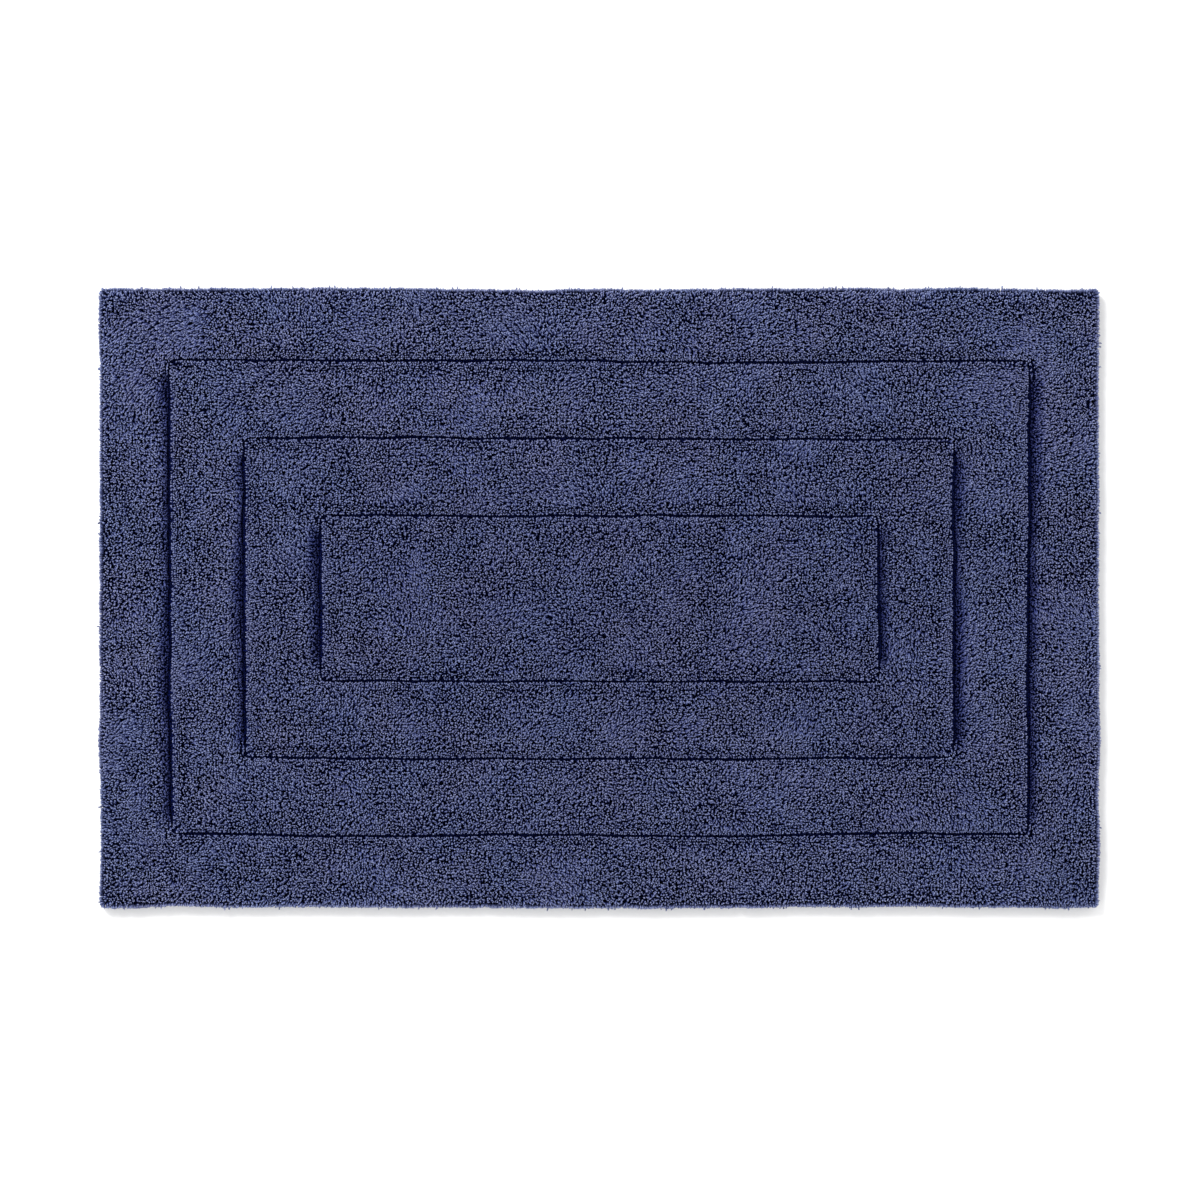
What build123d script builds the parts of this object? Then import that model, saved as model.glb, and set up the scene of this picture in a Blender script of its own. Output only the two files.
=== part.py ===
from build123d import *
import os

# A cut-pile cotton bath mat that lies flat on the floor, pile side up.
# Millimetres. The origin is at the centre of the footprint, on the floor.
# +X runs along the long side, +Y across the mat and +Z up through the pile.

# Whole mat: the outline of the pile and the full thickness.
mat_length = 864.0
mat_width = 535.0
mat_height = 17.0
mat_corner_radius = 4.5

# Layers from the floor up. The pile fills what is left of the height.
coating_thickness = 1.2
backing_thickness = 0.8
pile_overhang = 3.0  # how far the pile stands out past the cloth that it is tufted into

# Three carved channels, each a rectangle one inside the other: length and width along its centre line.
outer_channel = (741.0, 409.0)
middle_channel = (612.0, 276.0)
inner_channel = (481.0, 142.5)
channel_width = 5.0
channel_pile_height = 5.0
channel_corner_radius = 5.0  # on the centre line

# Rounding of the pile's top edges.
mat_edge_radius = 4.0
carved_edge_radius = 2.4

# Hem tape: a flat cotton tape sewn round the underside, in four mitred lengths.
tape_width = 22.0
tape_corner_radius = 3.0

# The tape's two seams. Each thread lies in a groove, just inside the tape's lower face.
thread_size = 0.5
groove_depth = 0.6
outer_seam_inset = 4.0
inner_seam_inset = 17.5
seam_corner_radius = 1.5

# Yarn loops on the back of the cloth: rows of stitches along the mat, buried in the coating.
stitch_row_pitch = 5.0
stitch_row_width = 1.8
stitch_row_height = 0.6
stitch_row_margin = 6.0  # clear of the coating's edges

# Worked out from the dimensions above. An outline is a length, a width and a corner radius.
backing_top = coating_thickness + backing_thickness
pile_height = mat_height - backing_top
cloth_length = mat_length - 2 * pile_overhang
cloth_width = mat_width - 2 * pile_overhang
coating_length = cloth_length - 2 * tape_width
coating_width = cloth_width - 2 * tape_width
stitch_row_length = coating_length - 2 * stitch_row_margin
stitch_row_count = int((coating_width - 2 * stitch_row_margin) // stitch_row_pitch)
mat_outline = (mat_length, mat_width, mat_corner_radius)
cloth_outline = (cloth_length, cloth_width, tape_corner_radius)


def save(name, part):
    """Labels a finished sub-part and writes its file."""
    part.label = name
    export_step(part, f"parts/{name}.step")


def channel_wall(channel, side):
    """Outline of a channel's wall: its outer one for side +1, its inner one for side -1."""
    length, width = channel
    growth = side * channel_width
    return length + growth, width + growth, channel_corner_radius + growth / 2


def seam_outline(inset, growth):
    """Outline of a seam's groove or thread, growth wider or narrower than its centre line."""
    length = cloth_length - 2 * inset + growth
    width = cloth_width - 2 * inset + growth
    return length, width, seam_corner_radius + growth / 2


def round_top_edge(block, loop, radius):
    """Rounds one loop of edges of the pile's flat top: 0 is the innermost loop, -1 the outermost."""
    flat_top = block.faces().sort_by(Axis.Z)[-1]
    fillet(flat_top.wires().sort_by(SortBy.LENGTH)[loop].edges(), radius=radius)


def make_pile_ring(outline, hole, outer_radius):
    """A zone of even pile between two walls, with its top edges rounded by the shears."""
    with BuildPart() as pile_ring:
        with BuildSketch(Plane.XY.offset(backing_top)):
            RectangleRounded(*outline)
            RectangleRounded(*hole, mode=Mode.SUBTRACT)
        extrude(amount=pile_height)
        round_top_edge(pile_ring, -1, outer_radius)
        round_top_edge(pile_ring, 0, carved_edge_radius)
    return pile_ring.part


def make_channel_pile(channel):
    """The low pile left at the bottom of a carved channel."""
    with BuildPart() as channel_pile:
        with BuildSketch(Plane.XY.offset(backing_top)):
            RectangleRounded(*channel_wall(channel, 1))
            RectangleRounded(*channel_wall(channel, -1), mode=Mode.SUBTRACT)
        extrude(amount=channel_pile_height)
    return channel_pile.part


def make_seam_thread(inset):
    """One seam's thread, in the groove of the hem tape, all the way round the mat."""
    with BuildPart() as seam_thread:
        with BuildSketch(Plane.XY.offset(groove_depth - thread_size)):
            RectangleRounded(*seam_outline(inset, thread_size))
            RectangleRounded(*seam_outline(inset, -thread_size), mode=Mode.SUBTRACT)
        extrude(amount=thread_size)
    return seam_thread.part


def make_hem_tape(half_length, half_width, turn):
    """One length of hem tape, mitred at both ends, on the side of the mat that turn degrees points at."""
    with BuildPart() as hem_tape:
        with BuildSketch():
            RectangleRounded(*cloth_outline)
            Rectangle(coating_length, coating_width, mode=Mode.SUBTRACT)
            with BuildSketch(mode=Mode.INTERSECT):
                with BuildLine(Plane.XY.rotated((0, 0, turn))):
                    Polyline(
                        (-half_length, -half_width),
                        (half_length, -half_width),
                        (half_length - tape_width, tape_width - half_width),
                        (tape_width - half_length, tape_width - half_width),
                        close=True,
                    )
                make_face()
        extrude(amount=coating_thickness)
        with BuildSketch():
            for inset in (outer_seam_inset, inner_seam_inset):
                RectangleRounded(*seam_outline(inset, thread_size))
                RectangleRounded(*seam_outline(inset, -thread_size), mode=Mode.SUBTRACT)
        extrude(amount=groove_depth, mode=Mode.SUBTRACT)
    return hem_tape.part


os.makedirs("parts", exist_ok=True)

# Four zones of full-height pile, from the border in to the centre panel.
save("pile_border", make_pile_ring(mat_outline, channel_wall(outer_channel, 1), mat_edge_radius))
save(
    "pile_outer_band",
    make_pile_ring(channel_wall(outer_channel, -1), channel_wall(middle_channel, 1), carved_edge_radius),
)
save(
    "pile_inner_band",
    make_pile_ring(channel_wall(middle_channel, -1), channel_wall(inner_channel, 1), carved_edge_radius),
)

with BuildPart() as pile_centre:
    with BuildSketch(Plane.XY.offset(backing_top)):
        RectangleRounded(*channel_wall(inner_channel, -1))
    extrude(amount=pile_height)
    round_top_edge(pile_centre, 0, carved_edge_radius)
save("pile_centre", pile_centre.part)

# The carved channels between them.
save("channel_pile_outer", make_channel_pile(outer_channel))
save("channel_pile_middle", make_channel_pile(middle_channel))
save("channel_pile_inner", make_channel_pile(inner_channel))

# Woven cloth that all the tufts are pushed through.
with BuildPart() as primary_backing:
    with BuildSketch(Plane.XY.offset(coating_thickness)):
        RectangleRounded(*cloth_outline)
    extrude(amount=backing_thickness)
save("primary_backing", primary_backing.part)

# Back loops of the tuft yarn, hanging from the cloth in straight rows.
with BuildPart() as tuft_back_stitches:
    with BuildSketch(Plane.XY.offset(coating_thickness - stitch_row_height)):
        with GridLocations(0, stitch_row_pitch, 1, stitch_row_count):
            Rectangle(stitch_row_length, stitch_row_width)
    extrude(amount=stitch_row_height)
save("tuft_back_stitches", tuft_back_stitches.part)

# Latex coating over the back loops, flush with the hem tape round it.
with BuildPart() as latex_coating:
    with BuildSketch():
        Rectangle(coating_length, coating_width)
    extrude(amount=coating_thickness)
    with BuildSketch(Plane.XY.offset(coating_thickness)):
        with GridLocations(0, stitch_row_pitch, 1, stitch_row_count):
            Rectangle(stitch_row_length, stitch_row_width)
    extrude(amount=-stitch_row_height, mode=Mode.SUBTRACT)
save("latex_coating", latex_coating.part)

# Hem tape on the four sides, and the two seams that hold it.
half_long = cloth_length / 2
half_short = cloth_width / 2
save("hem_tape_front", make_hem_tape(half_long, half_short, 0))
save("hem_tape_right", make_hem_tape(half_short, half_long, 90))
save("hem_tape_back", make_hem_tape(half_long, half_short, 180))
save("hem_tape_left", make_hem_tape(half_short, half_long, 270))
save("seam_thread_outer", make_seam_thread(outer_seam_inset))
save("seam_thread_inner", make_seam_thread(inner_seam_inset))
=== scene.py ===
import math

import bpy
import numpy as np
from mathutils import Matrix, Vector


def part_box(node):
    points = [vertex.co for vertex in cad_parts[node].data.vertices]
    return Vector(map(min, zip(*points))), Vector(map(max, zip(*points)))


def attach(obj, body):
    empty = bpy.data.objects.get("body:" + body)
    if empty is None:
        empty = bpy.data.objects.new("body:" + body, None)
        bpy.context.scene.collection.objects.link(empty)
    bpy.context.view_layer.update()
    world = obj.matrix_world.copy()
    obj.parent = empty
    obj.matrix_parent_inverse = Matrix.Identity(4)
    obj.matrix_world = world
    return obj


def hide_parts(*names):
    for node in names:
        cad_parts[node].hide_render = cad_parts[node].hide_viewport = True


# A cut-pile cotton bath mat on a white floor. Metres, in the frame of the CAD model:
# +X along the mat, +Y across it, +Z up through the pile.

MM = 0.001

# Tufts of the full pile
TUFT_SPACING = 1.58 * MM
TUFT_RADIUS = 0.74 * MM
GIRTHS = (0.75, 1.25)  # least and greatest girth of a tuft, as a part of the usual one
TONES = (0.35, 1)  # darkest and palest tuft
ROOT_DEPTH = 0.4 * MM  # how far a tuft starts inside the cloth
UNEVEN_TOP = 0.2  # how much shorter than the pile the shortest tuft is, as a part of its height
BOW = 0.5 * MM  # how far a tuft bows sideways
NAP = (2.7, 1.5)  # mm that the pile is brushed over, in wide patches and in small ones
STRAND_STEPS = np.array([0.0, 0.58, 0.965, 1.0])  # along the strand, from root to tip
CLUMP_SPACING = 2.7 * MM  # tufts cling together in small clumps at their tips
CLUMP_PULL = 0.24  # how far a tip moves to the middle of its clump, as a part of the way
MOST_STRANDS = 12500  # in one piece, so that no piece is too heavy to use

# The carved channels
ROOT_GAP = 2.9 * MM  # from a channel's centre line to the roots on each side
CHANNEL_CORNER = 5 * MM
WOBBLE = 0.9 * MM  # how far the channels stray over a short way
DRIFT = 1.3 * MM  # and over a long way
WALL_ROW = 1.0 * MM  # room that the close row along a wall takes
WALL_SPACING = 1.4 * MM
UNEVEN_WALL = 0.08  # as UNEVEN_TOP, in that row
CLEAR_OUTSIDE = 2.2 * MM  # from the centre line of a channel's short sides to the tips round it
CLEAR_INSIDE = 0.1 * MM  # and to the tips within it
CLEAR_LONG = 0.33 * MM  # the same at both walls of the long sides
CORNER_OPEN = 22 * MM  # from a channel's corner, where it is open to its full width
CORNER_SHUT = 7 * MM  # and where the pile has closed over it

# How the pile is cut lower towards a channel: deep on the outside of its short sides, shallow elsewhere
DEEP_CUT = 6.5 * MM
DEEP_BEVEL = 10.0 * MM
SHALLOW_CUT = 2.8 * MM
SHALLOW_BEVEL = 6.0 * MM
SHALLOW_WALL_CUT = 3.0 * MM  # at the wall itself

# Painted shading of the pile as a whole: darker towards the middle, and paler at the rim, a painted light
# where the tufts lie over
MIDDLE_DARKENING = 0.13
MIDDLE_DARKENING_FROM = 50 * MM  # in from the mat's edge, where that starts
MIDDLE_DARKENING_FULL = 240 * MM  # and where it is full
PAINTED_RIM_LIGHT = 0.3
RIM_REACH = 16 * MM

# The mat's edge
MAT_CORNER = 4.5 * MM
EDGE_INSET = 3.7 * MM  # from the mat's outline in to the outermost roots
EDGE_SPACING = 0.9 * MM
EDGE_WOBBLE = 1.1 * MM  # how far the edge strays over a short way
EDGE_NICKS = 0.45 * MM  # and from one tuft to the next few
EDGE_ROUNDING = 7 * MM  # how far in from the edge the tufts start to lean out
EDGE_LEAN = 2.2 * MM
EDGE_CUT = 1.0 * MM
STRAY_SHARE = 0.015  # of the edge tufts, which stand out from the rest
STRAY_REACH = (0.8, 2.4)  # mm

# Layers of edge tufts from the lowest up: reach outwards in mm, least and greatest height as a part of
# the pile's, and how far they fan sideways in mm
EDGE_LAYERS = (
    (3.5, 0.06, 0.2, 0.4),
    (3.7, 0.25, 0.5, 0.8),
    (3.7, 0.55, 0.75, 1.2),
    (3.1, 0.78, 0.95, 1.2),
)

# A strand's painted shades: how pale it is painted at its root and at its tip, and how much darker it is
# painted as a whole
# painted light: the edge tufts are painted less dark at the root and paler as a whole, where they lie
# over at the rim
EDGE_SHADES = (0.6, 1.0, -0.1)
# painted shade: the short tufts at the bottom of the channels are painted dark
CHANNEL_SHADES = (0.0, 0.12, 0.6)
CHANNEL_SPACING = 2.4 * MM  # of the short tufts in the channels

# Underside
CLOTH_CORNER = 3.0 * MM
ROW_PITCH = 5.0 * MM
ROW_WIDTH = 1.8 * MM
STITCH_LENGTH = 5.5 * MM
SEAM_INSETS = (4.0 * MM, 17.5 * MM)
SEAM_CORNER = 1.5 * MM
SEAM_STITCH = 4.2 * MM
SEAM_HOLLOW = 1.1 * MM  # half the width of the hollow that a seam draws in the tape

WAVE_LENGTH = 0.314  # of a wave texture at scale 1
NOISE_REACH = np.array([0.5, 0.35])  # half the length and width that random values cover

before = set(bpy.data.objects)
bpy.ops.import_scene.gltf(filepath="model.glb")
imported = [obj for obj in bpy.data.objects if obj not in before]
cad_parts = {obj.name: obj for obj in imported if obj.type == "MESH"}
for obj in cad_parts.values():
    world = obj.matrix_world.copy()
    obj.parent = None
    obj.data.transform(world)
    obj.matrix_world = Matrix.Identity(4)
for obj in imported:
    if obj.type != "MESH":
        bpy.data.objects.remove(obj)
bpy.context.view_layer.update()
rng = np.random.default_rng(34)


# ---------------------------------------------------------------- noise and layout


def noise_field(cell):
    """A function that gives smooth random values, about -1 to 1, that change over a length of cell."""
    size = np.ceil(2 * NOISE_REACH / cell).astype(int) + 2
    values = rng.uniform(-1, 1, size)

    def noise(points):
        grid = (points + NOISE_REACH) / cell
        corner = np.floor(grid).astype(int)
        part = grid - corner
        part = part * part * (3 - 2 * part)
        x, y = corner.T
        near = values[x, y] * (1 - part[:, 0]) + values[x + 1, y] * part[:, 0]
        far = values[x, y + 1] * (1 - part[:, 0]) + values[x + 1, y + 1] * part[:, 0]
        return near * (1 - part[:, 1]) + far * part[:, 1]

    return noise


def half_size(node):
    """Half the length and width of a CAD node."""
    low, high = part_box(node)
    return np.array([(high[0] - low[0]) / 2, (high[1] - low[1]) / 2])


def turned_left(directions):
    """Each direction turned by a quarter turn."""
    return np.stack([-directions[:, 1], directions[:, 0]], axis=1)


def rectangle_distance(points, half, corner_radius):
    """Distance outside a rounded rectangle, negative inside, and the direction away from it."""
    reach = np.abs(points) - (half - corner_radius)
    beyond = np.maximum(reach, 0)
    length = np.linalg.norm(beyond, axis=1)
    distance = length + np.minimum(reach.max(axis=1), 0) - corner_radius
    nearest_side = np.eye(2)[reach.argmax(axis=1)]
    outward = np.where(length[:, None] > 1e-9, beyond / np.maximum(length, 1e-9)[:, None], nearest_side)
    return distance, outward * np.sign(points)


def fade(value, start, end):
    """0 at start, 1 at end, smooth between."""
    part = np.clip((value - start) / (end - start), 0, 1)
    return part * part * (3 - 2 * part)


# ---------------------------------------------------------------- meshes


def tube_mesh(name, paths, radii, across, sides=3, pointed_start=False, flatness=1.0):
    """Many strands in one mesh, and how many vertices each has.

    Each path is a row of points with a ring of corners round each; the last one is the tip.
    """
    count, points = paths.shape[:2]
    first = 1 if pointed_start else 0
    rings = points - 1 - first
    along = np.gradient(paths, axis=1)
    along /= np.linalg.norm(along, axis=2, keepdims=True)
    up = np.cross(across[:, None, :], along)
    up /= np.linalg.norm(up, axis=2, keepdims=True)
    side = np.cross(along, up)
    turn = 2 * math.pi * np.arange(sides) / sides
    spread = (
        np.cos(turn)[:, None] * side[:, first:-1, None, :]
        + flatness * np.sin(turn)[:, None] * up[:, first:-1, None, :]
    )
    corners = paths[:, first:-1, None, :] + radii[:, first:-1, None, None] * spread
    parts = [corners.reshape(count, rings * sides, 3), paths[:, -1:, :]]
    if pointed_start:
        parts.insert(0, paths[:, :1, :])
    vertices = np.concatenate(parts, axis=1)
    per_tube = vertices.shape[1]

    quads, quad_uvs, triangles, triangle_uvs = [], [], [], []
    for ring in range(rings - 1):
        for j in range(sides):
            a = first + ring * sides + j
            b = first + ring * sides + (j + 1) % sides
            quads.append([a, b, b + sides, a + sides])
            left, right = j / sides, (j + 1) / sides
            quad_uvs.append([[left, ring], [right, ring], [right, ring + 1], [left, ring + 1]])
    for j in range(sides):
        last = first + (rings - 1) * sides
        triangles.append([last + j, last + (j + 1) % sides, per_tube - 1])
        left, middle, right = j / sides, (j + 0.5) / sides, (j + 1) / sides
        triangle_uvs.append([[left, rings - 1], [right, rings - 1], [middle, rings]])
        if pointed_start:
            triangles.append([first + (j + 1) % sides, first + j, 0])
            triangle_uvs.append([[right, 0], [left, 0], [middle, -1]])

    offsets = (np.arange(count) * per_tube)[:, None, None]
    quad_loops = (np.array(quads)[None] + offsets).ravel()
    triangle_loops = (np.array(triangles)[None] + offsets).ravel()
    quad_starts = np.arange(count * len(quads)) * 4
    triangle_starts = len(quad_loops) + np.arange(count * len(triangles)) * 3
    loops = np.concatenate([quad_loops, triangle_loops])
    uvs = np.concatenate(
        [
            np.tile(np.array(quad_uvs, float).ravel(), count),
            np.tile(np.array(triangle_uvs, float).ravel(), count),
        ]
    )

    mesh = bpy.data.meshes.new(name)
    mesh.vertices.add(count * per_tube)
    mesh.vertices.foreach_set("co", vertices.astype(np.float32).ravel())
    mesh.loops.add(len(loops))
    mesh.loops.foreach_set("vertex_index", loops.astype(np.int32))
    mesh.polygons.add(len(quad_starts) + len(triangle_starts))
    starts = np.concatenate([quad_starts, triangle_starts])
    mesh.polygons.foreach_set("loop_start", starts.astype(np.int32))
    mesh.uv_layers.new(name="Yarn").data.foreach_set("uv", uvs.astype(np.float32))
    mesh.update(calc_edges=True)
    return mesh, per_tube


def add_values(mesh, name, values):
    """Stores one number per vertex under a name that a material reads."""
    attribute = mesh.attributes.new(name, "FLOAT", "POINT")
    attribute.data.foreach_set("value", values.astype(np.float32).ravel())


def add_piece(name, mesh, material, nodes):
    """Makes a piece of the mat that stands for CAD nodes."""
    piece = bpy.data.objects.new(name, mesh)
    bpy.context.scene.collection.objects.link(piece)
    piece.data.materials.append(material)
    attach(piece, "root")
    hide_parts(*nodes)
    return piece


# ---------------------------------------------------------------- materials


def new_material(name, roughness, sheen=0.0):
    """A Principled material, with its node tree and shader."""
    material = bpy.data.materials.new(name)
    material.use_nodes = True
    tree = material.node_tree
    shader = tree.nodes["Principled BSDF"]
    shader.inputs["Roughness"].default_value = roughness
    shader.inputs["Sheen Weight"].default_value = sheen
    shader.inputs["Sheen Roughness"].default_value = 0.45
    shader.inputs["Sheen Tint"].default_value = (0.62, 0.66, 0.9, 1)
    shader.inputs["Specular IOR Level"].default_value = 0.25
    return material, tree, shader


def noise_node(tree, scale, detail=2.0):
    """Noise over the object's own coordinates."""
    coords = tree.nodes.new("ShaderNodeTexCoord")
    noise = tree.nodes.new("ShaderNodeTexNoise")
    noise.inputs["Scale"].default_value = scale
    noise.inputs["Detail"].default_value = detail
    tree.links.new(coords.outputs["Object"], noise.inputs["Vector"])
    return noise.outputs["Fac"]


def value_node(tree, name):
    """A value that the mesh stores at each vertex."""
    attribute = tree.nodes.new("ShaderNodeAttribute")
    attribute.attribute_name = name
    return attribute.outputs["Fac"]


def ramp_node(tree, factor, stops):
    """A colour ramp, with its stops as places and colours."""
    ramp = tree.nodes.new("ShaderNodeValToRGB")
    elements = ramp.color_ramp.elements
    while len(elements) < len(stops):
        elements.new(0.5)
    for element, (place, colour) in zip(elements, stops):
        element.position = place
        element.color = (*colour, 1)
    tree.links.new(factor, ramp.inputs["Fac"])
    return ramp.outputs["Color"]


def mix_node(tree, kind, factor, first, second):
    """Mixes two colours; factor is a number or a socket."""
    mix = tree.nodes.new("ShaderNodeMix")
    mix.data_type = "RGBA"
    mix.blend_type = kind
    for socket, value in ((mix.inputs[0], factor), (mix.inputs[6], first), (mix.inputs[7], second)):
        if isinstance(value, bpy.types.NodeSocket):
            tree.links.new(value, socket)
        else:
            socket.default_value = value
    return mix.outputs[2]


def pile_material():
    """Dyed cotton yarn, each tuft its own tone, with painted shade and light: painted dark at the root,
    where the pile shades itself, and painted paler where the cut tips face up.
    """
    material, tree, shader = new_material("cotton_pile", 1.0)
    shader.inputs["Specular IOR Level"].default_value = 0.03
    # painted shade: deep saturated navy at the root, where the pile shades itself, up to a painted
    # highlight at the tip
    depth = ramp_node(
        tree,
        value_node(tree, "reach"),
        [
            (0.0, (0.006, 0.014, 0.15)),
            (0.35, (0.038, 0.06, 0.29)),
            (0.62, (0.082, 0.109, 0.335)),
            (0.92, (0.165, 0.195, 0.36)),
            (1.0, (0.262, 0.295, 0.455)),
        ],
    )
    # each tuft's own random tone, which also carries the painted shade in and beside the channels and
    # towards the middle, and the painted light at the rim
    tuft = ramp_node(
        tree,
        value_node(tree, "tone"),
        [(0.0, (0.08, 0.08, 0.14)), (0.35, (0.475, 0.485, 0.6)), (1.0, (1, 1, 1))],
    )
    patches = ramp_node(
        tree,
        noise_node(tree, 22.0),
        [(0.3, (0.9, 0.94, 1.0)), (0.7, (1.0, 0.96, 0.98))],
    )
    # painted light: faces that turn up are painted paler, and faces that turn sideways are painted darker
    surface = tree.nodes.new("ShaderNodeNewGeometry")
    facing = tree.nodes.new("ShaderNodeSeparateXYZ")
    tree.links.new(surface.outputs["Normal"], facing.inputs["Vector"])
    painted_top_light = ramp_node(tree, facing.outputs["Z"], [(0.0, (0.24, 0.27, 0.38)), (0.7, (1, 1, 1))])
    colour = mix_node(tree, "MULTIPLY", 1.0, depth, tuft)
    colour = mix_node(tree, "MULTIPLY", 1.0, colour, patches)
    colour = mix_node(tree, "MULTIPLY", 1.0, colour, painted_top_light)
    tree.links.new(colour, shader.inputs["Base Color"])
    return material


def weave_bump(tree, shader, pitch, distance):
    """Threads over and under, in two directions, as a bump."""
    coords = tree.nodes.new("ShaderNodeTexCoord")
    waves = []
    for direction in ("X", "Y"):
        wave = tree.nodes.new("ShaderNodeTexWave")
        wave.bands_direction = direction
        wave.inputs["Scale"].default_value = WAVE_LENGTH / pitch
        wave.inputs["Distortion"].default_value = 0.6
        wave.inputs["Detail"].default_value = 1.0
        tree.links.new(coords.outputs["Object"], wave.inputs["Vector"])
        waves.append(wave.outputs["Fac"])
    both = tree.nodes.new("ShaderNodeMath")
    both.operation = "MULTIPLY"
    tree.links.new(waves[0], both.inputs[0])
    tree.links.new(waves[1], both.inputs[1])
    bump = tree.nodes.new("ShaderNodeBump")
    bump.inputs["Distance"].default_value = distance
    bump.inputs["Strength"].default_value = 0.8
    tree.links.new(both.outputs[0], bump.inputs["Height"])
    tree.links.new(bump.outputs["Normal"], shader.inputs["Normal"])
    return both.outputs[0]


def backing_material():
    """Dyed plain-weave cloth, painted darker than its own navy, as painted shade where it shows deep
    between the tufts.
    """
    material, tree, shader = new_material("backing_weave", 0.95)
    threads = weave_bump(tree, shader, 1.4 * MM, 0.2 * MM)
    # painted shade: near-black navy, for the shadow at the bottom of the pile
    colour = ramp_node(tree, threads, [(0.1, (0.008, 0.015, 0.1)), (0.7, (0.016, 0.03, 0.17))])
    tree.links.new(colour, shader.inputs["Base Color"])
    return material


def yarn_back_material():
    """The tuft yarn where it crosses the back, smeared with coating in places."""
    material, tree, shader = new_material("yarn_back", 0.8)
    tone = value_node(tree, "tone")
    yarn = ramp_node(tree, tone, [(0.0, (0.045, 0.055, 0.14)), (1.0, (0.075, 0.09, 0.2))])
    smear = ramp_node(tree, noise_node(tree, 160.0, 4.0), [(0.46, (0, 0, 0)), (0.62, (1, 1, 1))])
    colour = mix_node(tree, "MIX", smear, yarn, (0.3, 0.32, 0.4, 1))
    tree.links.new(colour, shader.inputs["Base Color"])
    return material


def latex_material():
    """Matt latex, slightly grey, with the dyed yarn showing where it lies thin over the rows."""
    material, tree, shader = new_material("latex_film", 0.5)
    shader.inputs["Specular IOR Level"].default_value = 0.4
    coords = tree.nodes.new("ShaderNodeTexCoord")
    split = tree.nodes.new("ShaderNodeSeparateXYZ")
    tree.links.new(coords.outputs["Object"], split.inputs["Vector"])
    depth = tree.nodes.new("ShaderNodeMapRange")
    depth.inputs["From Min"].default_value = 0.1 * MM
    depth.inputs["From Max"].default_value = 0.45 * MM
    tree.links.new(split.outputs["Z"], depth.inputs["Value"])
    film = ramp_node(tree, depth.outputs["Result"], [(0.15, (0.2, 0.22, 0.3)), (0.7, (0.46, 0.47, 0.5))])
    patches = ramp_node(tree, noise_node(tree, 45.0, 5.0), [(0.3, (0.8, 0.8, 0.82)), (0.7, (1, 1, 1))])
    colour = mix_node(tree, "MULTIPLY", 1.0, film, patches)
    tree.links.new(colour, shader.inputs["Base Color"])
    grain = tree.nodes.new("ShaderNodeBump")
    grain.inputs["Distance"].default_value = 0.15 * MM
    grain.inputs["Strength"].default_value = 0.6
    tree.links.new(noise_node(tree, 900.0, 4.0), grain.inputs["Height"])
    tree.links.new(grain.outputs["Normal"], shader.inputs["Normal"])
    return material


def tape_material():
    """Navy cotton tape in a close weave."""
    material, tree, shader = new_material("hem_tape_weave", 0.9, sheen=0.1)
    threads = weave_bump(tree, shader, 0.9 * MM, 0.12 * MM)
    weave = ramp_node(tree, threads, [(0.0, (0.014, 0.018, 0.06)), (0.8, (0.05, 0.06, 0.15))])
    wear = ramp_node(tree, noise_node(tree, 70.0, 3.0), [(0.35, (0.8, 0.8, 0.84)), (0.65, (1, 1, 1))])
    tree.links.new(mix_node(tree, "MULTIPLY", 1.0, weave, wear), shader.inputs["Base Color"])
    return material


def thread_material():
    """Smooth spun sewing thread, a shade lighter than the tape."""
    material, tree, shader = new_material("seam_thread", 0.5, sheen=0.1)
    tone = value_node(tree, "tone")
    colour = ramp_node(tree, tone, [(0.0, (0.07, 0.085, 0.2)), (1.0, (0.11, 0.13, 0.27))])
    tree.links.new(colour, shader.inputs["Base Color"])
    twist = tree.nodes.new("ShaderNodeTexWave")
    twist.bands_direction = "DIAGONAL"
    twist.inputs["Scale"].default_value = 1.5
    uv = tree.nodes.new("ShaderNodeUVMap")
    uv.uv_map = "Yarn"
    tree.links.new(uv.outputs["UV"], twist.inputs["Vector"])
    bump = tree.nodes.new("ShaderNodeBump")
    bump.inputs["Distance"].default_value = 0.06 * MM
    tree.links.new(twist.outputs["Fac"], bump.inputs["Height"])
    tree.links.new(bump.outputs["Normal"], shader.inputs["Normal"])
    return material


# ---------------------------------------------------------------- pile

channels = ["channel_pile_outer", "channel_pile_middle", "channel_pile_inner"]
inside = ["pile_outer_band", "pile_inner_band", "pile_centre"]
mat_half = half_size("pile_border")
channel_halves = [(half_size(c) + half_size(z)) / 2 for c, z in zip(channels, inside)]
cloth_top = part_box("primary_backing")[1][2]
pile_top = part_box("pile_border")[1][2]
channel_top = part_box("channel_pile_outer")[1][2]
pile_height = pile_top - cloth_top

channel_wobble = noise_field(26 * MM)
channel_wander = noise_field(150 * MM)
slit_noise = noise_field(14 * MM)
edge_wobble = noise_field(45 * MM)
nap_x = [noise_field(48 * MM), noise_field(17 * MM)]
nap_y = [noise_field(48 * MM), noise_field(17 * MM)]
coating_noise = noise_field(11 * MM)
tape_noise = noise_field(9 * MM)
edge_nicks = noise_field(8 * MM)


def channel_drift(points):
    """How far the carved channels stray from their true lines here."""
    return WOBBLE * channel_wobble(points) + DRIFT * channel_wander(points)


def edge_drift(points):
    """How far the mat's edge strays from its true line here."""
    return EDGE_WOBBLE * edge_wobble(points) + EDGE_NICKS * edge_nicks(points)


def scattered_roots(half, spacing):
    """Root places in even rows, each moved a little at random."""
    steps = np.floor(half / spacing).astype(int)
    xs = np.arange(-steps[0], steps[0] + 1) * spacing
    ys = np.arange(-steps[1], steps[1] + 1) * spacing
    places = np.stack(np.meshgrid(xs, ys, indexing="ij"), axis=-1).reshape(-1, 2)
    return places + rng.normal(0, 0.18 * spacing, places.shape)


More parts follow.
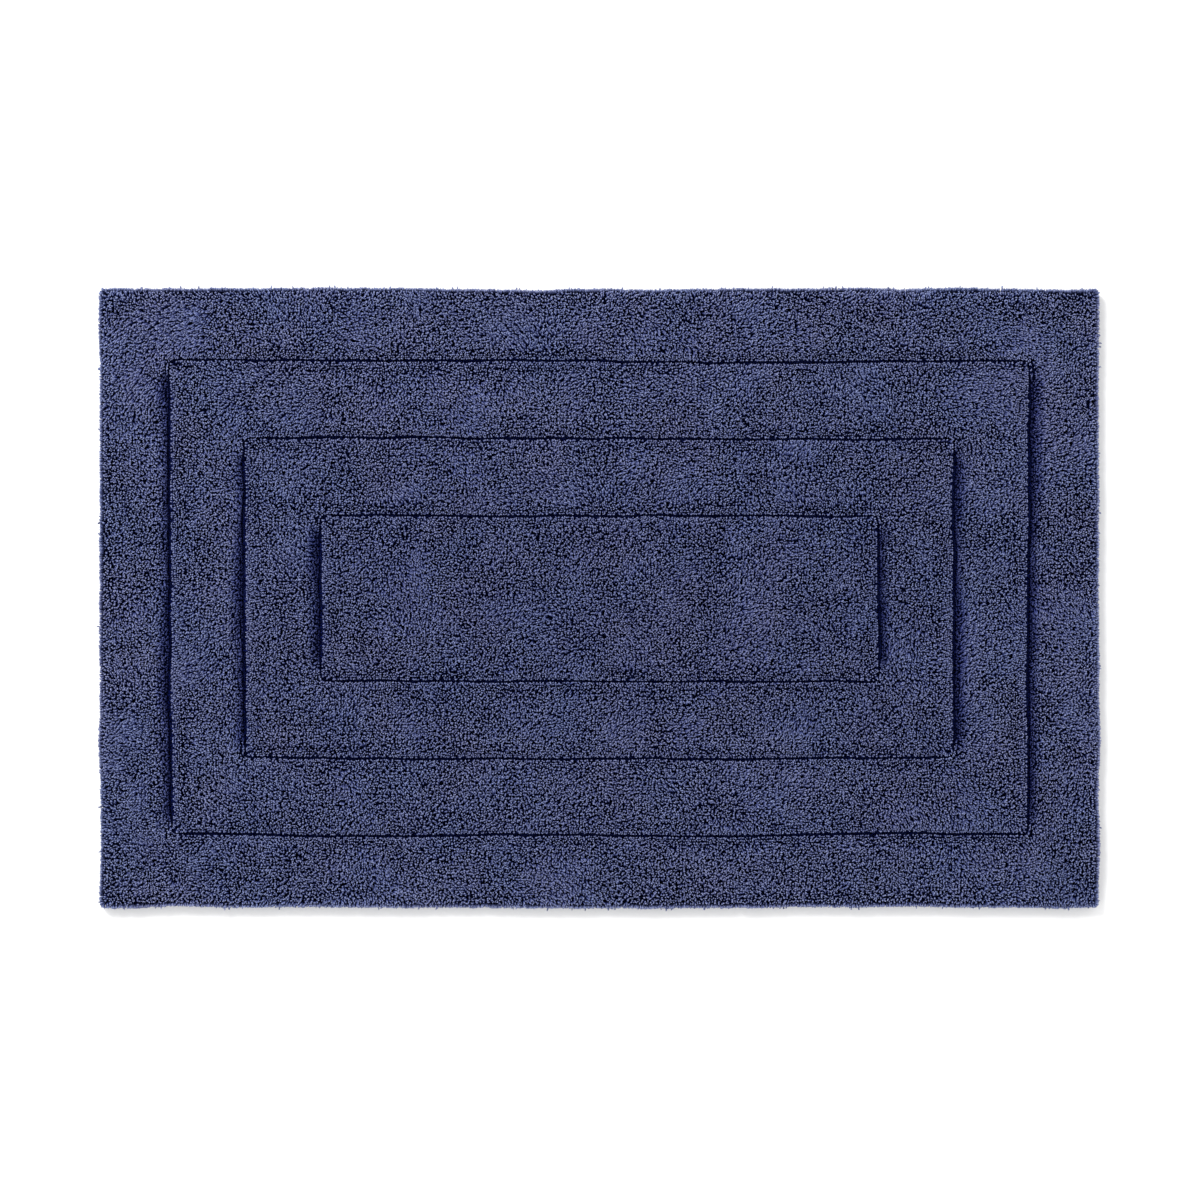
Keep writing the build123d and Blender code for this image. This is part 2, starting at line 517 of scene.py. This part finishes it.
clump_places = scattered_roots(NOISE_REACH, CLUMP_SPACING).reshape(
    *(2 * np.floor(NOISE_REACH / CLUMP_SPACING).astype(int) + 1), 2
)


def nearest_clump(points):
    """The centre of the clump that each point is nearest to."""
    rows, columns = clump_places.shape[:2]
    cell = np.round(points / CLUMP_SPACING).astype(int) + [rows // 2, columns // 2]
    best = np.full(len(points), np.inf)
    nearest = points.copy()
    for i in (-1, 0, 1):
        for j in (-1, 0, 1):
            centre = clump_places[cell[:, 0] + i, cell[:, 1] + j]
            far = ((centre - points) ** 2).sum(axis=1)
            closer = far < best
            best[closer] = far[closer]
            nearest[closer] = centre[closer]
    return nearest


def outline_roots(half, corner_radius, spacing, even=False):
    """Places along a rounded rectangle, one after another, with the direction out of it at each."""
    straight = 2 * (half - corner_radius)
    arc = corner_radius * math.pi / 2
    lengths = np.array([straight[1], arc, straight[0], arc] * 2)
    ends = np.cumsum(lengths)
    count = round(ends[-1] / spacing)
    along = np.arange(count) * ends[-1] / count
    if not even:
        along = along + rng.normal(0, 0.2 * spacing, count)
    along = np.clip(along, 0, ends[-1] - 1e-6)
    stretch = np.searchsorted(ends, along, side="right")
    part = (along - (ends - lengths)[stretch]) / lengths[stretch]
    # the first stretch is the right side, and the others follow it anticlockwise
    turn = np.where(stretch % 2 == 1, (stretch // 2 + part) * math.pi / 2, stretch // 2 * math.pi / 2)
    outward = np.stack([np.cos(turn), np.sin(turn)], axis=1)
    corner_signs = np.array([[1, 1], [-1, 1], [-1, -1], [1, -1]])
    arc_centre = corner_signs[stretch // 2] * (half - corner_radius)
    on_arc = arc_centre + corner_radius * outward
    slide = (part - 0.5)[:, None] * lengths[stretch][:, None] * turned_left(outward)
    on_side = outward * half + slide
    return np.where((stretch % 2 == 1)[:, None], on_arc, on_side), outward


def grow(name, roots, lean, height, shades, material, nodes):
    """A piece of pile: one bent strand for each root, with its three painted shades."""
    count = len(roots)
    radius = TUFT_RADIUS * rng.uniform(*GIRTHS, count)
    steps = STRAND_STEPS[None, :]
    size = np.linalg.norm(lean, axis=1)
    heading = np.where(size[:, None] > 1e-6, lean / np.maximum(size, 1e-6)[:, None], [[1.0, 0.0]])
    bow = rng.normal(0, BOW, (count, 2))
    bend = steps**2.0
    rise = steps * (1.55 - 0.55 * steps)
    paths = np.empty((count, len(STRAND_STEPS), 3))
    paths[:, :, :2] = (
        roots[:, None, :]
        + lean[:, None, :] * bend[:, :, None]
        + bow[:, None, :] * np.sin(math.pi * steps)[:, :, None]
    )
    paths[:, :, 2] = cloth_top - ROOT_DEPTH + (height + ROOT_DEPTH)[:, None] * rise
    taper = np.interp(STRAND_STEPS, [0, 0.3, 0.8, 1], [0.75, 0.92, 1.0, 0.9])
    across = np.stack([-heading[:, 1], heading[:, 0], np.zeros(count)], axis=1)
    mesh, per_tube = tube_mesh(name, paths, radius[:, None] * taper[None, :], across)
    reach = np.append(np.repeat(STRAND_STEPS[:-1], 3), 1.0)
    # painted shade along the strand from root to tip, and painted shade over the whole tuft on top of its
    # own tone
    add_values(mesh, "reach", shades[:, :1] * (1 - reach) + shades[:, 1:2] * reach)
    add_values(mesh, "tone", np.repeat(rng.uniform(*TONES, count) * (1 - shades[:, 2]), per_tube))
    add_piece(name, mesh, material, nodes)


def corner_closing(points, half):
    """1 at the corners of a channel, where the pile closes over it, and 0 along its sides."""
    from_corner = np.abs(np.abs(points) - half).max(axis=1)
    return fade(from_corner, CORNER_OPEN, CORNER_SHUT)


def on_short_side(outward):
    """Whether each place is on one of a channel's two short sides, which face along X."""
    return np.abs(outward[:, 0]) > 0.7


def clear_gap(points, half, outward, side):
    """How far tips stay back from a channel's centre line, on its outer side (+1) or inner side (-1)."""
    wide = np.where(on_short_side(outward), np.where(side > 0, CLEAR_OUTSIDE, CLEAR_INSIDE), CLEAR_LONG)
    return wide * (1 - corner_closing(points, half)) * (1 + 0.45 * slit_noise(points))


def slope_shades(drop):
    """The painted shade of strands that are cut this much shorter, where the pile slopes down to a
    channel: the lower they are cut, the darker they are painted.
    """
    part = drop / DEEP_CUT
    return np.stack([0 * part, 1 - 0.25 * part, 0.85 * part**0.7], axis=1)


def carve(roots, lean, height, half):
    """Cuts and leans the tufts near one channel.

    Gives their lean and height, how far each is cut back, and whether it stands clear of the channel.
    """
    distance, outward = rectangle_distance(roots, half, CHANNEL_CORNER)
    distance = distance + channel_drift(roots)
    side = np.sign(distance)
    gap = np.abs(distance) - ROOT_GAP
    short_side = on_short_side(outward)
    cut_back = short_side & (side > 0)

    drop = np.where(cut_back, DEEP_CUT, SHALLOW_CUT) * (1 - corner_closing(roots, half))
    bevel = np.where(cut_back, DEEP_BEVEL, SHALLOW_BEVEL)
    drop = drop * (np.clip(1 - gap / bevel, 0, 1) * (gap > 0)) ** 2
    height = height - drop

    # calmer nap near the wall, where the tufts lean over the channel
    calm_reach = np.where(cut_back, 4.0, np.where(short_side, 13.0, 8.0)) * MM
    calm = fade(gap, calm_reach, 0) * (gap > 0)
    lean_over = side * calm * np.where(cut_back, 0.4, 1.7) * MM
    lean = lean * (1 - 0.75 * calm)[:, None] - lean_over[:, None] * outward
    height = height + 0.12 * calm * (pile_height - height) * ~cut_back

    # no tip passes the wall
    tip = side * (distance + (lean * outward).sum(axis=1))
    over = np.maximum(clear_gap(roots, half, outward, side) + TUFT_RADIUS - tip, 0)
    over = np.where(np.abs(distance) < 15 * MM, over, 0)
    lean = lean + (side * over)[:, None] * outward
    return lean, height, drop * cut_back, gap > WALL_ROW


def comb(roots):
    """The tufts of the even pile that the channels and the edge leave: roots, lean, height and painted
    shades.
    """
    count = len(roots)
    nap = [NAP[0] * wide(roots) + NAP[1] * small(roots) for wide, small in (nap_x, nap_y)]
    nap = np.stack(nap, axis=1)
    lean = (nap + rng.normal(0, 1.0, (count, 2))) * MM
    lean = lean + CLUMP_PULL * (nearest_clump(roots + lean) - roots - lean)
    height = pile_height * (1 - UNEVEN_TOP * rng.random(count) ** 2)
    keep = np.ones(count, bool)
    slope = np.zeros(count)
    for half in channel_halves:
        lean, height, cut, clear = carve(roots, lean, height, half)
        slope = slope + cut
        keep &= clear

    distance, outward = rectangle_distance(roots, mat_half, MAT_CORNER)
    distance = distance + edge_drift(roots)
    keep &= distance < -(EDGE_INSET + WALL_ROW)
    near = np.clip(1 + (distance + EDGE_INSET) / EDGE_ROUNDING, 0, 1)
    height = height - EDGE_CUT * near**2
    lean = lean * (1 - 0.5 * near)[:, None] + outward * (EDGE_LEAN * near)[:, None]

    shades = slope_shades(slope)
    # darker towards the middle of the mat
    middle_darkening = fade(distance, -MIDDLE_DARKENING_FROM, -MIDDLE_DARKENING_FULL)
    # painted light: paler towards the rim, where the tufts lie over
    rim = fade(distance, -RIM_REACH, -EDGE_INSET)
    shades[:, 2] += MIDDLE_DARKENING * middle_darkening - PAINTED_RIM_LIGHT * rim
    return roots[keep], lean[keep], height[keep], shades[keep]


def wall_rows():
    """The tufts along both walls of each channel, in a close row, so that the carved line is crisp."""
    rows = []
    for half in channel_halves:
        for side in (1, -1):
            corner_radius = CHANNEL_CORNER + side * ROOT_GAP
            places, outward = outline_roots(half + side * ROOT_GAP, corner_radius, WALL_SPACING)
            roots = places - channel_drift(places)[:, None] * outward
            count = len(roots)
            cut_back = on_short_side(outward) & (side > 0)
            pull = ROOT_GAP - TUFT_RADIUS - clear_gap(roots, half, outward, side)
            slide = rng.normal(0, 1.3, count) * MM
            jitter = -0.6 * MM * rng.exponential(1, count)
            lean = -side * (pull + jitter)[:, None] * outward + slide[:, None] * turned_left(outward)
            drop = np.where(cut_back, DEEP_CUT, SHALLOW_WALL_CUT) * (1 - corner_closing(roots, half))
            height = pile_height * (1 - UNEVEN_WALL * rng.random(count)) - drop
            rows.append((roots, lean, height, slope_shades(drop * cut_back)))
    return [np.concatenate(values) for values in zip(*rows)]


def edge_rows():
    """The tufts along the mat's edge, in close rows that lean out and fall lower towards the floor."""
    rows = []
    for reach, low, high, spread in EDGE_LAYERS:
        places, outward = outline_roots(mat_half, MAT_CORNER, EDGE_SPACING)
        count = len(places)
        roots = places - (EDGE_INSET + edge_drift(places))[:, None] * outward
        stray = np.where(rng.random(count) < STRAY_SHARE, rng.uniform(*STRAY_REACH, count), 0)
        out = (reach + rng.normal(0, 0.3, count) + stray) * MM
        fan = rng.normal(0, spread, count) * MM
        lean = out[:, None] * outward + fan[:, None] * turned_left(outward)
        height = pile_height * rng.uniform(low, high, count)
        rows.append((roots, lean, height, np.tile(EDGE_SHADES, (count, 1))))
    return [np.concatenate(values) for values in zip(*rows)]


def side_of(roots, half):
    """Which side of a ring each root is on: right, left, back or front."""
    beyond = np.abs(roots) - half
    return np.where(
        beyond[:, 0] > beyond[:, 1],
        np.where(roots[:, 0] > 0, "right", "left"),
        np.where(roots[:, 1] > 0, "back", "front"),
    )


def make_pile(material):
    """The full-height pile, in pieces: each zone by its sides, and each side in even lengths."""
    grown = [comb(scattered_roots(mat_half, TUFT_SPACING)), wall_rows(), edge_rows()]
    roots, lean, height, shades = (np.concatenate(values) for values in zip(*grown))
    zone = np.zeros(len(roots), int)
    for half in channel_halves:
        zone += rectangle_distance(roots, half, CHANNEL_CORNER)[0] < 0
    for index, name in enumerate(["pile_border", *inside]):
        if name == "pile_centre":
            side = np.where(roots[:, 0] > 0, "right", "left")
        else:
            side = side_of(roots, channel_halves[index])
        for which, axis in (("front", 0), ("back", 0), ("left", 1), ("right", 1)):
            mine = np.flatnonzero((zone == index) & (side == which))
            if not len(mine):
                continue
            mine = mine[np.argsort(roots[mine, axis])]
            lengths = np.array_split(mine, math.ceil(len(mine) / MOST_STRANDS))
            for number, part in enumerate(lengths, start=1):
                piece_name = f"{name}_{which}_{number}"
                grow(piece_name, roots[part], lean[part], height[part], shades[part], material, [name])


def make_channel_pile(material):
    """Short tufts at the bottom of each channel."""
    for name, half in zip(channels, channel_halves):
        roots = scattered_roots(half + 4 * MM, CHANNEL_SPACING)
        distance = rectangle_distance(roots, half, CHANNEL_CORNER)[0] + channel_drift(roots)
        roots = roots[np.abs(distance) < CHANNEL_SPACING]
        count = len(roots)
        lean = rng.normal(0, 1.0 * MM, (count, 2))
        height = (channel_top - cloth_top) * rng.uniform(0.8, 1.0, count)
        # painted shade deep in the channel
        shades = np.tile(CHANNEL_SHADES, (count, 1))
        grow(name + "_tufts", roots, lean, height, shades, material, [name])


pile = pile_material()
make_pile(pile)
make_channel_pile(pile)

# ---------------------------------------------------------------- cloth, coating, tape and seams

cloth_half = half_size("primary_backing")
coating_half = half_size("latex_coating")
cloth_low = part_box("primary_backing")[0][2]
tape_width = cloth_half[0] - coating_half[0]


def skin_mesh(name, grid, low, high):
    """A thin closed sheet over a grid of places, between a low and a high height at each."""
    rows, columns = grid.shape[:2]
    bottom = np.dstack([grid, low]).reshape(-1, 3)
    top = np.dstack([grid, high]).reshape(-1, 3)
    number = np.arange(rows * columns).reshape(rows, columns)
    a, b, c, d = number[:-1, :-1], number[1:, :-1], number[1:, 1:], number[:-1, 1:]
    below = np.stack([a, d, c, b], axis=-1).reshape(-1, 4)
    above = np.stack([a, b, c, d], axis=-1).reshape(-1, 4) + rows * columns
    rim = np.concatenate([number[0, :-1], number[:-1, -1], number[-1, :0:-1], number[:0:-1, 0]])
    following = np.roll(rim, -1)
    wall = np.stack([rim, following, following + rows * columns, rim + rows * columns], axis=-1)
    mesh = bpy.data.meshes.new(name)
    faces = np.concatenate([below, above, wall])
    mesh.from_pydata(np.concatenate([bottom, top]).tolist(), [], faces.tolist())
    mesh.update()
    return mesh


def draw_in(places, half, corner_radius):
    """Moves the places outside a rounded rectangle's corners onto them."""
    flat = places.reshape(-1, 2)
    distance, outward = rectangle_distance(flat, half, corner_radius)
    flat = flat - np.maximum(distance, 0)[:, None] * outward
    return flat.reshape(places.shape)


def even_places(half, cell):
    """An even grid of places over a rectangle, at most a cell apart."""
    steps = np.ceil(2 * half / cell).astype(int) + 1
    xs = np.linspace(-half[0], half[0], steps[0])
    ys = np.linspace(-half[1], half[1], steps[1])
    return np.stack(np.meshgrid(xs, ys, indexing="ij"), axis=-1)


def make_backing(material):
    """The woven cloth that holds the tufts, drawn down a little along its stitched rows."""
    places = draw_in(even_places(cloth_half, 6 * MM), cloth_half, CLOTH_CORNER)
    ripple = 0.06 * MM * np.sin(2 * math.pi * places[:, :, 1] / (24 * MM))
    underside = np.full_like(ripple, cloth_low)
    mesh = skin_mesh("backing_cloth", places, underside, cloth_top - 0.06 * MM + ripple)
    piece = add_piece("backing_cloth", mesh, material, ["primary_backing"])


def make_back_stitches(material):
    """Rows of yarn loops on the back of the cloth, half sunk in the coating."""
    low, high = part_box("tuft_back_stitches")
    rows = 1 + round((high[1] - low[1] - ROW_WIDTH) / ROW_PITCH)
    row_places = (np.arange(rows) - (rows - 1) / 2) * ROW_PITCH
    per_row = math.floor((high[0] - low[0]) / STITCH_LENGTH)
    along = (np.arange(per_row) - (per_row - 1) / 2) * STITCH_LENGTH
    centres = np.stack(np.meshgrid(along, row_places), axis=-1).reshape(-1, 2)
    centres = centres + rng.normal(0, 0.12 * MM, centres.shape)
    count = len(centres)
    steps = np.array([-0.5, -0.38, 0.0, 0.38, 0.5])
    paths = np.empty((count, 5, 3))
    skew = rng.normal(0, 0.3 * MM, count)
    paths[:, :, 0] = centres[:, :1] + steps * STITCH_LENGTH * 1.04
    paths[:, :, 1] = centres[:, 1:] + skew[:, None] * steps
    drop = np.array([0.0, 0.45, 0.62, 0.45, 0.0]) * MM
    paths[:, :, 2] = cloth_low + 0.12 * MM - drop - 0.06 * MM * rng.random(count)[:, None] * (drop > 0)
    radii = np.tile(np.array([0.3, 0.85, 1.0, 0.85, 0.3]) * 0.85 * MM, (count, 1))
    across = np.tile([0.0, 1.0, 0.0], (count, 1))
    half_count = (rows // 2) * per_row
    for side, part in (("front", slice(0, half_count)), ("back", slice(half_count, count))):
        name = f"tuft_back_loops_{side}"
        mesh, per_tube = tube_mesh(
            name, paths[part], radii[part], across[part], sides=4, pointed_start=True, flatness=0.55
        )
        add_values(mesh, "tone", np.repeat(rng.random(len(paths[part])), per_tube))
        add_piece(name, mesh, material, ["tuft_back_stitches"])


def make_coating(material):
    """Latex spread over the back, thin over the rows of loops and pooled between them."""
    places = even_places(coating_half, np.array([7 * MM, ROW_PITCH / 4]))
    flat = places.reshape(-1, 2)
    first_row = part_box("tuft_back_stitches")[0][1] + ROW_WIDTH / 2
    on_rows = (0.5 + 0.5 * np.cos(2 * math.pi * (flat[:, 1] - first_row) / ROW_PITCH)) ** 0.7
    border = fade(-rectangle_distance(flat, coating_half, 1 * MM)[0], 3 * MM, 9 * MM)
    pooled = 0.42 * MM + 0.09 * MM * coating_noise(flat) - 0.26 * MM * on_rows * border
    pooled = pooled - 0.2 * MM * (1 - border)
    bottom = pooled.reshape(places.shape[:2])
    mesh = skin_mesh("latex_back", places, bottom, np.full_like(bottom, cloth_low))
    add_piece("latex_back", mesh, material, ["latex_coating"])


def seam_dip(across):
    """How far the tape is drawn up at its two seams, at a place across its width."""
    return sum(np.exp(-(((across - inset) / SEAM_HOLLOW) ** 2)) for inset in SEAM_INSETS)


def make_tape(name, turn, length, material):
    """One mitred length of hem tape, drawn up along its seams and crowned between them."""
    columns = np.linspace(0, 1, math.ceil(length / (4 * MM)) + 1)
    rows = np.linspace(0, tape_width, 25)
    half_along = length / 2 - rows
    along = (2 * columns[:, None] - 1) * half_along[None, :]
    out = np.broadcast_to(-rows[None, :], along.shape)
    side_vector = np.array([math.cos(turn), math.sin(turn)])
    along_vector = np.array([-math.sin(turn), math.cos(turn)])
    edge = abs(side_vector) @ cloth_half
    places = (out + edge)[:, :, None] * side_vector + along[:, :, None] * along_vector
    places = draw_in(places, cloth_half, CLOTH_CORNER)
    pucker = 0.5 + 0.5 * np.cos(2 * math.pi * along / SEAM_STITCH)
    dip = seam_dip(rows)[None, :]
    ends = np.exp(-((rows / (0.8 * MM)) ** 2)) + np.exp(-(((tape_width - rows) / (0.8 * MM)) ** 2))
    low = (0.02 + 0.42 * dip * (0.65 + 0.35 * pucker) + 0.25 * ends[None, :]) * MM
    uneven = 0.05 * MM * tape_noise(places.reshape(-1, 2)).reshape(low.shape)
    low = low + uneven * (1 - dip).clip(0, 1) + 0.05 * MM
    mesh = skin_mesh(name, places[::-1], low[::-1], np.full_like(low, cloth_low))
    piece = add_piece(name + "_cloth", mesh, material, [name])


def make_seam(name, inset, material):
    """A row of lockstitches. Each is a short thread that lies in the tape and dives in at both ends."""
    places, outward = outline_roots(cloth_half - inset, SEAM_CORNER, SEAM_STITCH, even=True)
    count = len(places)
    steps = np.array([-0.5, -0.42, -0.2, 0.2, 0.42, 0.5]) * 0.9 * SEAM_STITCH
    dive = np.array([0.9, 0.5, 0.33, 0.33, 0.5, 0.9]) * MM
    paths = np.empty((count, 6, 3))
    paths[:, :, :2] = places[:, None, :] + steps[:, None] * turned_left(outward)[:, None, :]
    paths[:, :, 2] = dive
    radii = np.tile(np.array([0.5, 0.9, 1, 1, 0.9, 0.5]) * 0.26 * MM, (count, 1))
    across = np.concatenate([outward, np.zeros((count, 1))], axis=1)
    mesh, per_tube = tube_mesh(name + "_stitches", paths, radii, across, sides=6, pointed_start=True)
    add_values(mesh, "tone", np.repeat(rng.random(count), per_tube))
    add_piece(name + "_stitches", mesh, material, [name])


make_backing(backing_material())
make_back_stitches(yarn_back_material())
make_coating(latex_material())
tape = tape_material()
for name, turn, length in (
    ("hem_tape_front", -math.pi / 2, 2 * cloth_half[0]),
    ("hem_tape_right", 0.0, 2 * cloth_half[1]),
    ("hem_tape_back", math.pi / 2, 2 * cloth_half[0]),
    ("hem_tape_left", math.pi, 2 * cloth_half[1]),
):
    make_tape(name, turn, length, tape)
thread = thread_material()
make_seam("seam_thread_outer", SEAM_INSETS[0], thread)
make_seam("seam_thread_inner", SEAM_INSETS[1], thread)

# ---------------------------------------------------------------- studio

bpy.ops.mesh.primitive_plane_add(size=12)
floor = bpy.context.object
floor.name = "floor"
floor_material, _, floor_shader = new_material("floor_white", 0.9)
floor_shader.inputs["Base Color"].default_value = (0.9, 0.9, 0.9, 1)
floor.data.materials.append(floor_material)

scene = bpy.context.scene
scene.view_settings.view_transform = "Standard"
world = bpy.data.worlds.new("studio")
world.use_nodes = True
world.node_tree.nodes["Background"].inputs["Color"].default_value = (1, 1, 1, 1)
world.node_tree.nodes["Background"].inputs["Strength"].default_value = 1.15
scene.world = world

light = bpy.data.lights.new("softbox", "AREA")
light.shape = "DISK"
light.size = 1.2
light.energy = 75
softbox = bpy.data.objects.new("softbox", light)
softbox.location = (-1.2, 1.6, 2.4)
softbox.rotation_euler = (math.radians(-33), 0, math.radians(36.9))
scene.collection.objects.link(softbox)

camera_data = bpy.data.cameras.new("camera")
camera_data.lens = 104.3
camera_data.sensor_width = 36
camera = bpy.data.objects.new("camera", camera_data)
camera.location = (0.0004, -0.0015, 3.017)
scene.collection.objects.link(camera)
scene.camera = camera
